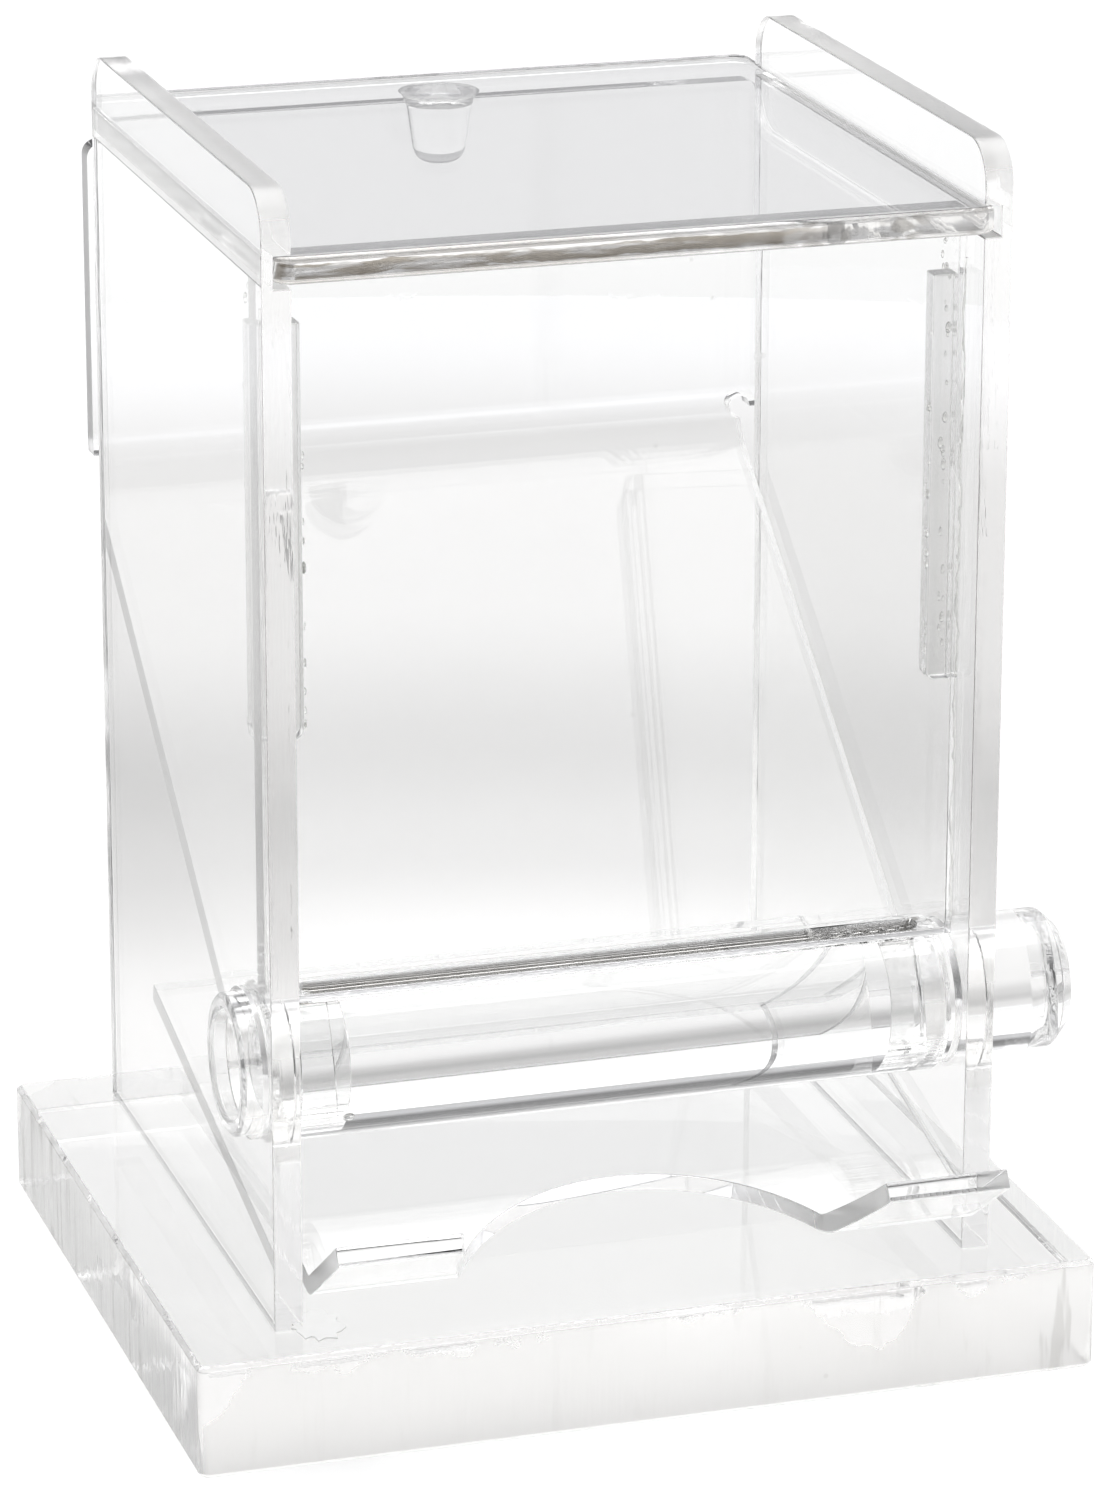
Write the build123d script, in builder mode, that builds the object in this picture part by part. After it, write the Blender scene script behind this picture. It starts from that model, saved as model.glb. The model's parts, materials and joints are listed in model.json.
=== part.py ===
"""Clear acrylic toothpick dispenser: turn the roller and one pick drops into the tray.

Millimetres. X runs along the roller, Y from front to back, Z up.
The origin is the middle of the base's underside.
"""

import math
import os

from build123d import *

# ---- driving sizes -------------------------------------------------------------------
BASE_WIDTH = 95.0
BASE_DEPTH = 82.0
BASE_THICKNESS = 12.0
BASE_CORNER_RADIUS = 1.2
BASE_EDGE_CHAMFER = 0.5

BAY_WIDTH = 70.0            # clear width between the side panels, for 65 mm picks
SIDE_THICKNESS = 3.0
SIDE_DEPTH = 69.0
SIDE_HEIGHT = 116.0
SIDE_CORNER_RADIUS = 4.5

FRONT_SETBACK = 4.8         # front panel's face behind the side panels' front edges
FRONT_THICKNESS = 3.0
FRONT_TOP_GAP = 0.3         # under the lid
ROLLER_PANEL_GAP = 0.5      # between the roller and the front panel's lower rear edge

LID_THICKNESS = 2.8
LID_CORNER_RADIUS = 2.0
LID_EDGE_FILLET = 0.6
LID_TOP_BELOW_SIDES = 6.3   # lid's top face under the side panels' top edges
GROOVE_DEPTH = 1.8
LID_CLEARANCE = 0.2         # on each face and each end of the lid in its grooves

PEG_TOP_DIAMETER = 7.4      # stop peg, glued under the lid
PEG_END_DIAMETER = 5.2
PEG_LENGTH = 7.7
PEG_END_FILLET = 1.9
PEG_WALL_GAP = 0.3          # from the rear wall, with the lid shut

STRIP_WIDTH = 2.6           # along X, on the side panel
STRIP_DEPTH = 2.4           # along Y, behind the front panel
STRIP_LENGTH = 42.0
STRIP_TOP_GAP = 5.0         # under the front panel's top edge
STRIP_END_RADIUS = 1.0

REAR_THICKNESS = 2.5
REAR_STANDOFF = 5.0         # wall's hopper face behind the side panels' rear edges
REAR_SIDE_SETBACK = 0.6     # wall's ends inside the side panels' outer faces
REAR_TOP_GAP = 2.0          # under the lid
REAR_WALL_CORNER_RADIUS = 1.5
WALL_FOOT_RISE = 2.0        # end of the full-width wall above the floor's corner
NOTCH_RADIUS = 1.2          # relief where the sheet narrows to pass between the sides
FLOOR_CORNER_HEIGHT = 69.0  # floor meets the wall's line here, above the base's top face
FLOOR_SLOPE = 37.0          # degrees
FLOOR_BEND_RADIUS = 8.0     # on the hopper side
FLOOR_ROLLER_GAP = 0.8

ROLLER_DIAMETER = 16.5
ROLLER_HEIGHT = 24.8        # axis above the base's top face
ROLLER_SETBACK = 11.0       # axis behind the side panels' front edges
ROLLER_END_CLEARANCE = 0.4  # between each end of the roller and its side panel
ROLLER_END_CHAMFER = 0.5
PICK_GROOVE_WIDTH = 2.8
PICK_GROOVE_DEPTH = 2.4
PICK_GROOVE_END = 1.8       # left uncut at each end of the roller
PICK_GROOVE_TURN = 6.0      # degrees forward of straight up, at rest

JOURNAL_DIAMETER = 14.6
JOURNAL_CLEARANCE = 0.3     # on the radius, in the side panels
JOURNAL_PROUD = 2.0         # left journal past its side panel
JOURNAL_WALL = 1.7          # round the recess in the left journal
JOURNAL_BORE_DEPTH = 3.8
JOURNAL_CHAMFER = 0.4
TURN_KNOB_PROUD = 10.5      # turning knob past its side panel
TURN_KNOB_CHAMFER = 1.4
SPIGOT_DIAMETER = 10.4      # of both journals, glued into the roller
SPIGOT_LENGTH = 6.0

TRAY_THICKNESS = 2.0
RAMP_SLOPE = 13.1           # degrees, down towards the front
LIP_SLOPE = 34.4            # degrees, up towards the front
TROUGH_HEIGHT = 6.5         # inside of the bend above the base's top face
TROUGH_SETBACK = -1.7       # inside of the bend behind the side panels' front edges
RAMP_LENGTH = 54.6
LIP_LENGTH = 12.7
TRAY_BEND_RADIUS = 0.8
FINGER_RADIUS = 22.2
FINGER_CENTRE_SETBACK = -12.9

# ---- places worked out from the sizes ---------------------------------------------------
base_top = BASE_THICKNESS
side_front = -SIDE_DEPTH / 2
side_rear = SIDE_DEPTH / 2
side_top = base_top + SIDE_HEIGHT
wall_front = side_rear + REAR_STANDOFF
wall_rear = wall_front + REAR_THICKNESS
bay_half = BAY_WIDTH / 2
side_outer = bay_half + SIDE_THICKNESS
lid_top = side_top - LID_TOP_BELOW_SIDES
lid_bottom = lid_top - LID_THICKNESS
roller_y = side_front + ROLLER_SETBACK
roller_z = base_top + ROLLER_HEIGHT
roller_radius = ROLLER_DIAMETER / 2
roller_half = bay_half - ROLLER_END_CLEARANCE
front_face = side_front + FRONT_SETBACK
front_back = front_face + FRONT_THICKNESS
front_top = lid_bottom - FRONT_TOP_GAP
peg_y = wall_front - PEG_WALL_GAP - PEG_TOP_DIAMETER / 2


def height_over_roller(y, gap):
    """Height at y of a circle one gap larger than the roller, or the axis where y is past it."""
    reach = roller_radius + gap
    return roller_z + math.sqrt(max(reach**2 - (y - roller_y) ** 2, 0.0))


def build_base():
    """Thick square slab that the rest is glued to."""
    with BuildPart() as base:
        with BuildSketch():
            RectangleRounded(BASE_WIDTH, BASE_DEPTH, BASE_CORNER_RADIUS)
        extrude(amount=BASE_THICKNESS)
        chamfer(base.faces().sort_by(Axis.Z)[-1].edges(), BASE_EDGE_CHAMFER)
        chamfer(base.faces().sort_by(Axis.Z)[0].edges(), BASE_EDGE_CHAMFER)
    return base.part


def build_side(side):
    """Side panel on the base: side is -1 for the left one and 1 for the right one."""
    inner = side * bay_half
    lid_slot_height = LID_THICKNESS + 2 * LID_CLEARANCE
    with BuildPart() as panel:
        with BuildSketch(Plane.YZ.offset(inner)):
            with Locations((0, base_top + SIDE_HEIGHT / 2)):
                outline = Rectangle(SIDE_DEPTH, SIDE_HEIGHT)
            fillet(outline.vertices().group_by(Axis.Y)[-1], SIDE_CORNER_RADIUS)
            with Locations((roller_y, roller_z)):
                Circle(JOURNAL_DIAMETER / 2 + JOURNAL_CLEARANCE, mode=Mode.SUBTRACT)
        extrude(amount=side * SIDE_THICKNESS)
        with BuildSketch(Plane.YZ.offset(inner)):
            with Locations((0, lid_top - LID_THICKNESS / 2)):
                Rectangle(SIDE_DEPTH, lid_slot_height)
        extrude(amount=side * GROOVE_DEPTH, mode=Mode.SUBTRACT)
    return panel.part


def build_front():
    """Front panel between the sides, from just above the roller to just under the lid."""
    front_bottom = height_over_roller(front_back, ROLLER_PANEL_GAP)
    with BuildPart() as front:
        with BuildSketch(Plane.XZ.offset(-front_back)):
            with Locations((0, (front_bottom + front_top) / 2)):
                Rectangle(BAY_WIDTH, front_top - front_bottom)
        extrude(amount=FRONT_THICKNESS)
    return front.part


def build_strip(side):
    """Square strip glued into the corner behind the front panel, its foot rounded."""
    strip_top = front_top - STRIP_TOP_GAP
    with BuildPart() as strip:
        with BuildSketch(Plane.XZ.offset(-front_back)):
            with Locations((side * (bay_half - STRIP_WIDTH / 2), strip_top - STRIP_LENGTH / 2)):
                outline = Rectangle(STRIP_WIDTH, STRIP_LENGTH)
            foot = outline.vertices().group_by(Axis.Y)[0]
            fillet(foot.sort_by(Axis.X)[0 if side > 0 else -1], STRIP_END_RADIUS)
        extrude(amount=-STRIP_DEPTH)
    return strip.part


def floor_end():
    """Where the hopper floor stops, its cut end one gap short of the roller, as (y, z)."""
    slope = math.radians(FLOOR_SLOPE)
    down, up = Vector(-math.cos(slope), -math.sin(slope)), Vector(-math.sin(slope), math.cos(slope))
    corner = Vector(wall_front, base_top + FLOOR_CORNER_HEIGHT)
    to_axis = Vector(roller_y, roller_z) - corner
    reach = roller_radius + FLOOR_ROLLER_GAP
    nearest = min(max(to_axis.dot(up), -REAR_THICKNESS), 0.0)
    along = to_axis.dot(down) - math.sqrt(max(reach**2 - (to_axis.dot(up) - nearest) ** 2, 0.0))
    end = corner + down * along
    return end.X, end.Y


def build_rear_sheet():
    """One bent sheet: wall behind the side panels, then a floor sloping down to the roller."""
    corner_height = base_top + FLOOR_CORNER_HEIGHT
    wall_top = lid_bottom - REAR_TOP_GAP
    wall_foot = corner_height + WALL_FOOT_RISE
    with BuildPart() as sheet:
        with BuildSketch(Plane.YZ):
            with BuildLine():
                FilletPolyline(
                    (wall_front, wall_top),
                    (wall_front, corner_height),
                    floor_end(),
                    radius=FLOOR_BEND_RADIUS,
                )
                offset(amount=REAR_THICKNESS, side=Side.LEFT)
            make_face()
        extrude(amount=side_outer - REAR_SIDE_SETBACK, both=True)
        fillet(sheet.edges().filter_by(Axis.Y).group_by(Axis.Z)[-1], REAR_WALL_CORNER_RADIUS)
        with BuildSketch(Plane.XZ):
            with Locations((-bay_half, wall_foot), (bay_half, wall_foot)):
                Circle(NOTCH_RADIUS)
            for side in (-1, 1):
                with Locations((side * (bay_half + SIDE_THICKNESS), wall_foot / 2)):
                    Rectangle(2 * SIDE_THICKNESS, wall_foot)
        extrude(amount=BASE_DEPTH, both=True, mode=Mode.SUBTRACT)
    return sheet.part


def build_tray():
    """Bent sheet under the roller: a ramp, a trough in front of it and a lip, cut for a finger."""
    ramp, lip = math.radians(RAMP_SLOPE), math.radians(LIP_SLOPE)
    trough_y, trough_z = side_front + TROUGH_SETBACK, base_top + TROUGH_HEIGHT
    ramp_end = (trough_y + RAMP_LENGTH * math.cos(ramp), trough_z + RAMP_LENGTH * math.sin(ramp))
    lip_end = (trough_y - LIP_LENGTH * math.cos(lip), trough_z + LIP_LENGTH * math.sin(lip))
    finger_y = side_front + FINGER_CENTRE_SETBACK
    finger_z = trough_z + (finger_y - trough_y) * math.tan(ramp)
    finger_plane = Plane(
        origin=(0, finger_y, finger_z), x_dir=(1, 0, 0), z_dir=(0, -math.sin(ramp), math.cos(ramp))
    )
    with BuildPart() as tray:
        with BuildSketch(Plane.YZ):
            with BuildLine():
                FilletPolyline(ramp_end, (trough_y, trough_z), lip_end, radius=TRAY_BEND_RADIUS)
                offset(amount=TRAY_THICKNESS, side=Side.LEFT)
            make_face()
        extrude(amount=bay_half, both=True)
        with BuildSketch(finger_plane):
            Circle(FINGER_RADIUS)
        extrude(amount=2 * LIP_LENGTH, both=True, mode=Mode.SUBTRACT)
    return tray.part


def build_lid():
    """Flat lid that slides along grooves in the side panels, flush with the rear wall when shut."""
    lid_half = bay_half + GROOVE_DEPTH - LID_CLEARANCE
    lid_depth = wall_rear - side_front
    with BuildPart() as lid:
        with BuildSketch(Plane.XY.offset(lid_bottom)):
            with Locations((0, side_front + lid_depth / 2)):
                RectangleRounded(2 * lid_half, lid_depth, LID_CORNER_RADIUS)
        extrude(amount=LID_THICKNESS)
        rims = lid.faces().filter_by(Axis.Z)
        fillet(rims.edges(), LID_EDGE_FILLET)
    return lid.part


def build_stop_peg():
    """Tapered peg under the lid: it stops the lid at the rear wall and at the front panel."""
    with BuildPart() as peg:
        with BuildSketch(Plane((0, peg_y, lid_bottom - PEG_LENGTH))):
            Circle(PEG_END_DIAMETER / 2)
        with BuildSketch(Plane((0, peg_y, lid_bottom))):
            Circle(PEG_TOP_DIAMETER / 2)
        loft()
        fillet(peg.edges().filter_by(GeomType.CIRCLE).sort_by(Axis.Z)[0], PEG_END_FILLET)
    return peg.part


def on_axis(x):
    """Plane across the roller's axis at x, its normal along +X."""
    return Plane(origin=(x, roller_y, roller_z), x_dir=(0, 1, 0), z_dir=(1, 0, 0))


def build_roller():
    """Roller between the side panels, with one lengthwise groove that carries a pick."""
    turn = math.radians(PICK_GROOVE_TURN)
    groove_floor = Plane(
        origin=(0, roller_y, roller_z), x_dir=(1, 0, 0), z_dir=(0, -math.sin(turn), math.cos(turn))
    ).offset(roller_radius - PICK_GROOVE_DEPTH)
    with BuildPart() as roller:
        with BuildSketch(on_axis(0)):
            Circle(roller_radius)
        extrude(amount=roller_half, both=True)
        chamfer(roller.edges().filter_by(GeomType.CIRCLE), ROLLER_END_CHAMFER)
        for end, into in ((-roller_half, SPIGOT_LENGTH), (roller_half, -SPIGOT_LENGTH)):
            with BuildSketch(on_axis(end)):
                Circle(SPIGOT_DIAMETER / 2)
            extrude(amount=into, mode=Mode.SUBTRACT)
        with BuildSketch(groove_floor):
            SlotOverall(2 * (roller_half - PICK_GROOVE_END), PICK_GROOVE_WIDTH)
        extrude(amount=2 * PICK_GROOVE_DEPTH, mode=Mode.SUBTRACT)
    return roller.part


def build_left_journal():
    """Left end of the roller: turns in the side panel, recessed on its outer face."""
    outer_end = -(side_outer + JOURNAL_PROUD)
    with BuildPart() as journal:
        with BuildSketch(on_axis(outer_end)):
            Circle(JOURNAL_DIAMETER / 2)
        extrude(amount=-roller_half - outer_end)
        with BuildSketch(on_axis(-roller_half)):
            Circle(SPIGOT_DIAMETER / 2)
        extrude(amount=SPIGOT_LENGTH)
        with BuildSketch(on_axis(outer_end)):
            Circle(JOURNAL_DIAMETER / 2 - JOURNAL_WALL)
        extrude(amount=JOURNAL_BORE_DEPTH, mode=Mode.SUBTRACT)
        chamfer(journal.edges().filter_by(GeomType.CIRCLE).group_by(Axis.X)[0], JOURNAL_CHAMFER)
    return journal.part


def build_turning_knob():
    """Right end of the roller: turns in the side panel and stands out as the finger knob."""
    outer_end = side_outer + TURN_KNOB_PROUD
    with BuildPart() as knob:
        with BuildSketch(on_axis(roller_half)):
            Circle(JOURNAL_DIAMETER / 2)
        extrude(amount=outer_end - roller_half)
        with BuildSketch(on_axis(roller_half)):
            Circle(SPIGOT_DIAMETER / 2)
        extrude(amount=-SPIGOT_LENGTH)
        chamfer(knob.edges().filter_by(GeomType.CIRCLE).group_by(Axis.X)[-1], TURN_KNOB_CHAMFER)
    return knob.part


pieces = {
    "base_plate": build_base(),
    "left_side_panel": build_side(-1),
    "right_side_panel": build_side(1),
    "front_panel": build_front(),
    "left_corner_strip": build_strip(-1),
    "right_corner_strip": build_strip(1),
    "rear_hopper_sheet": build_rear_sheet(),
    "pick_tray": build_tray(),
    "lid": build_lid(),
    "lid_stop_peg": build_stop_peg(),
    "roller": build_roller(),
    "left_journal": build_left_journal(),
    "turning_knob": build_turning_knob(),
}

os.makedirs("parts", exist_ok=True)
for name, piece in pieces.items():
    piece.label = name
    export_step(piece, f"parts/{name}.step")
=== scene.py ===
import json
import random
from math import cos, pi, radians, sin

import bmesh
import bpy
from mathutils import Matrix, Vector

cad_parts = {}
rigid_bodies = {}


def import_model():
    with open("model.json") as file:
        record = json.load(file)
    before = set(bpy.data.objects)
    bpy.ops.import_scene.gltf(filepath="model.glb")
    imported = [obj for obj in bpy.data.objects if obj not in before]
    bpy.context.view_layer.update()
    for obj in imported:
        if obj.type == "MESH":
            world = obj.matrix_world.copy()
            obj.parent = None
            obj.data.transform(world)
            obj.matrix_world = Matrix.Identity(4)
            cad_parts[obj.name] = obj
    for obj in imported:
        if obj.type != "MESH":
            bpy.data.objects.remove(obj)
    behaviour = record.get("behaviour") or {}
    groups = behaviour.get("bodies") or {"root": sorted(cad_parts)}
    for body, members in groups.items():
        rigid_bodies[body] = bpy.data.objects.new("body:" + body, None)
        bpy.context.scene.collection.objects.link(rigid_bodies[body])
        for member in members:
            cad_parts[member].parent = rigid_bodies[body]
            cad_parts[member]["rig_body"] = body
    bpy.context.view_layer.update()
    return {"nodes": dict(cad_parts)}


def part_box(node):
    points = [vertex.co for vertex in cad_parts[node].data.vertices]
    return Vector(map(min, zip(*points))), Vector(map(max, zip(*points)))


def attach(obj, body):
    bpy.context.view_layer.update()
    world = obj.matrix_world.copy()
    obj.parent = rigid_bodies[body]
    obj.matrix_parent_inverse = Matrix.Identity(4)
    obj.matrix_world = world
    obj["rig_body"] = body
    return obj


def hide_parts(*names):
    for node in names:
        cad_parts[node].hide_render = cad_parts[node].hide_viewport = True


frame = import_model()

MM = 0.001

# Acrylic: refractive index, and the tint that a shadow ray picks up at each face.
ACRYLIC_IOR = 1.49
SHADOW_TINT = (0.985, 0.985, 0.983, 1.0)

# Glued faces stand this far inside their sheet, so that no two faces lie on each other.
GLUE_LINE = 0.025 * MM

# Bores in the roller's ends, which the painted shade in the groove leaves clear.
SPIGOT_RADIUS = 5.2 * MM

# Eased edges of most sheets, and of the base, the lid and the turned pieces.
SHEET_EASE = 0.16 * MM
FINE_EASE = 0.10 * MM

# A CAD mesh: points this near are one, faces within FLAT_ANGLE are one, and an edge sharper
# than CORNER_ANGLE is eased. Angles are in degrees.
WELD_DISTANCE = 0.001 * MM
FLAT_ANGLE = 0.4
CORNER_ANGLE = 40.0

# Height of the bumps in clear sheet, and of the grain on white glue.
ACRYLIC_BUMP = 0.00006
GLUE_BUMP = 0.0002

# Colours of dust and of the stains, and of the painted shade under the front sheet and in the roller's
# groove.
DUST_GREY = (0.62, 0.61, 0.59)
GREY_FILM = (0.92, 0.914, 0.902)
SCUFF_GREY = (0.66, 0.65, 0.63)
STREAK_GREY = (0.40, 0.395, 0.38)
SAW_FROST = (1.0, 0.995, 0.985)
# Painted shade along the front sheet's bottom edge.
FOOT_PAINTED_SHADE = (0.26, 0.255, 0.25)
BAND_TAUPE = (0.24, 0.205, 0.16)
CHIP_TAUPE = (0.42, 0.405, 0.38)
# Painted shade in the roller's groove.
GROOVE_PAINTED_SHADE = (0.45, 0.44, 0.42)

# Glue: the bead's radius, how many drops each joint has, and the seeds of the random draws.
BEAD_RADIUS = 0.17 * MM
STRIP_DROPS = 16
JOINT_DROPS = 26
PLACES_SEED = 7
BEAD_SEEDS = {"left": 11, "right": 12}
STRIP_DROPS_SEED = 21
JOINT_DROPS_SEED = 23
LEFT_FOOT_SEED = 31
RIGHT_FOOT_SEED = 32

# White table top. Its greys are painted shade, a soft shadow ring round the object that only clear parts
# show, as (metres from the middle, grey), warmed a little between the ends.
TABLE_HALF_SIZE = 6.0
TABLE_DROP = 0.1 * MM
TABLE_MIDDLE = (0.95, 0.95, 0.95, 1)
TABLE_RIM_AT = 0.41
TABLE_RIM = (0.95, 0.95, 0.955, 1)
TABLE_SHADE_RING = ((0.10, 0.875), (0.14, 0.67), (0.18, 0.58), (0.25, 0.735), (0.32, 0.75))
TABLE_WARMTH = (1.0, 0.994, 0.985)
TABLE_TO_CAMERA = (0.99, 0.99, 0.99, 1.0)
TABLE_THROUGH_CLEAR = 1.04

# In reflections the table top darkens from one place to another, from one share of its grey to another.
TABLE_FRONT_SHADE = (-0.09, -0.22, 1.0, 0.30)
TABLE_SIDE_SHADE = (0.16, 0.30, 1.0, 0.85)

# White tent, as (how far up a ray looks, grey), from 0, level or down, to 1, straight up.
TENT_LOW = (0.46, 0.46, 0.47, 1)
TENT_TOP = (1.0, 1.0, 1.0, 1)
TENT_GREYS = ((0.22, 0.46), (0.36, 0.54), (0.45, 0.15), (0.56, 0.20), (0.68, 1.0))
TENT_BLUE = 1.02

# The tent dims forwards, behind the camera, and at its two sides: from, to, and strength at each.
TENT_FRONT_FLAG = (0.1, -0.6, 1.0, 0.42)
TENT_SIDE_FLAGS = (0.78, 0.94, 1.18, 0.25)

# White wall behind the object, cut off in front of WALL_FRONT, and its glow from foot to GLOW_RISE.
WALL_RADIUS = 0.43
WALL_HEIGHT = 0.17
WALL_FRONT = 0.15
WALL_GLOW = (1.04, 1.3)
GLOW_RISE = 0.11

SOFTBOX_PLACE = (0.1, 0.3, 1.6)
SOFTBOX_SIZE = (1.6, 1.6)
SOFTBOX_POWER = 15.0

# Camera: place in metres, turn in degrees, lens and sensor in millimetres.
CAMERA_PLACE = (-0.1851, -0.5975, 0.2635)
CAMERA_AZIMUTH = -17.39
CAMERA_ELEVATION = 18.13
CAMERA_ROLL = 0.10
LENS_LENGTH = 152.0
SENSOR_WIDTH = 36.0

# A ray crosses many faces of clear sheet before it leaves the object.
CLEAR_BOUNCES = 40
GLOSS_BOUNCES = 24


# ---------------------------------------------------------------- node helpers

def add(tree, kind, inputs=None, **settings):
    """Adds a node to tree, sets its options and its unlinked inputs, and returns it."""
    node = tree.nodes.new(kind)
    for key, value in settings.items():
        setattr(node, key, value)
    for key, value in (inputs or {}).items():
        node.inputs[key].default_value = value
    return node


def link(tree, *pairs):
    """Links (output socket, input socket) pairs."""
    for start, end in pairs:
        tree.links.new(start, end)


def math_node(tree, operation, a, b=None):
    """A Math node whose inputs are sockets or numbers."""
    node = add(tree, "ShaderNodeMath", operation=operation)
    for index, value in enumerate((a, b)):
        if value is None:
            continue
        if isinstance(value, (int, float)):
            node.inputs[index].default_value = value
        else:
            tree.links.new(value, node.inputs[index])
    return node.outputs[0]


def new_group(name, inputs, outputs):
    """Shader group with float inputs {name: default} and outputs {name: socket type}."""
    group = bpy.data.node_groups.new(name, "ShaderNodeTree")
    for label, value in inputs.items():
        socket = group.interface.new_socket(label, in_out="INPUT", socket_type="NodeSocketFloat")
        socket.default_value = value
    for label, kind in outputs.items():
        group.interface.new_socket(label, in_out="OUTPUT", socket_type=kind)
    return group, add(group, "NodeGroupInput"), add(group, "NodeGroupOutput")


def new_material(name):
    """New material and its node tree."""
    material = bpy.data.materials.new(name)
    material.use_nodes = True
    return material, material.node_tree


def remap(tree, value, low, high, at_low=0.0, at_high=1.0, blend="SMOOTHSTEP"):
    """at_low where value is low, at_high where it is high, and blended between them."""
    node = add(tree, "ShaderNodeMapRange",
               {"From Min": low, "From Max": high, "To Min": at_low, "To Max": at_high},
               interpolation_type=blend)
    link(tree, (value, node.inputs["Value"]))
    return node.outputs[0]


def facing(tree, axis, low, high):
    """Mask of the faces whose normal's axis part runs from low, where it is 0, to high, where it is 1."""
    coords = add(tree, "ShaderNodeTexCoord")
    part = add(tree, "ShaderNodeSeparateXYZ")
    link(tree, (coords.outputs["Normal"], part.inputs[0]))
    return remap(tree, part.outputs[axis], low, high)


def facing_either(tree, axis, low, high):
    """Mask of the faces that look along axis, one way or the other."""
    return math_node(tree, "ADD", facing(tree, axis, -low, -high), facing(tree, axis, low, high))


def place(tree, axis):
    """Place along one axis of the object's own frame, in metres."""
    coords = add(tree, "ShaderNodeTexCoord")
    part = add(tree, "ShaderNodeSeparateXYZ")
    link(tree, (coords.outputs["Object"], part.inputs[0]))
    return part.outputs[axis]


def mapped(tree, stretch, turn=(0.0, 0.0, 0.0), shift=(0.0, 0.0, 0.0)):
    """Place in the object's own frame, with stretch as a pattern's scale on each axis, turned and shifted."""
    coords = add(tree, "ShaderNodeTexCoord")
    mapping = add(tree, "ShaderNodeMapping", {"Location": shift, "Rotation": turn, "Scale": stretch})
    link(tree, (coords.outputs["Object"], mapping.inputs["Vector"]))
    return mapping.outputs[0]


def noise(tree, scale, stretch=(1.0, 1.0, 1.0), detail=3.0):
    """Noise about 0, in the object's own frame."""
    texture = add(tree, "ShaderNodeTexNoise", {"Scale": scale, "Detail": detail, "Roughness": 0.6})
    link(tree, (mapped(tree, stretch), texture.inputs["Vector"]))
    return math_node(tree, "SUBTRACT", texture.outputs["Fac"], 0.5)


def times(tree, *masks):
    """Product of masks."""
    total = masks[0]
    for mask in masks[1:]:
        total = math_node(tree, "MULTIPLY", total, mask)
    return total


# ---------------------------------------------------------------- shared finishes

def make_cut_edge_group():
    """Mask of the sawn edges of a sheet, with their saw lines, from the way that each face points.

    Across is 1 for the axis that the broad faces look along, and 0 for the other two.
    """
    group, given, out = new_group(
        "sawn edges",
        {"Across X": 1.0, "Across Y": 0.0, "Across Z": 0.0, "Line Scale": 900.0},
        {"Mask": "NodeSocketFloat", "Height": "NodeSocketFloat"},
    )
    coords = add(group, "ShaderNodeTexCoord")
    normal = add(group, "ShaderNodeSeparateXYZ")
    link(group, (coords.outputs["Normal"], normal.inputs[0]))
    total = None
    for axis in "XYZ":
        across = math_node(group, "ABSOLUTE", normal.outputs[axis])
        share = math_node(group, "MULTIPLY", across, given.outputs["Across " + axis])
        total = share if total is None else math_node(group, "ADD", total, share)
    edge = add(group, "ShaderNodeMapRange", {"From Min": 0.95, "From Max": 0.55},
               interpolation_type="SMOOTHSTEP")
    link(group, (total, edge.inputs["Value"]))
    stretch = add(group, "ShaderNodeMapping", {"Scale": (1.0, 1.0, 0.12)})
    lines = add(group, "ShaderNodeTexNoise", {"Detail": 3.0, "Roughness": 0.6})
    link(
        group,
        (coords.outputs["Object"], stretch.inputs["Vector"]),
        (stretch.outputs[0], lines.inputs["Vector"]),
        (given.outputs["Line Scale"], lines.inputs["Scale"]),
        (edge.outputs[0], out.inputs["Mask"]),
    )
    height = math_node(group, "MULTIPLY", lines.outputs["Fac"], edge.outputs[0])
    link(group, (height, out.inputs["Height"]))
    return group


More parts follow.
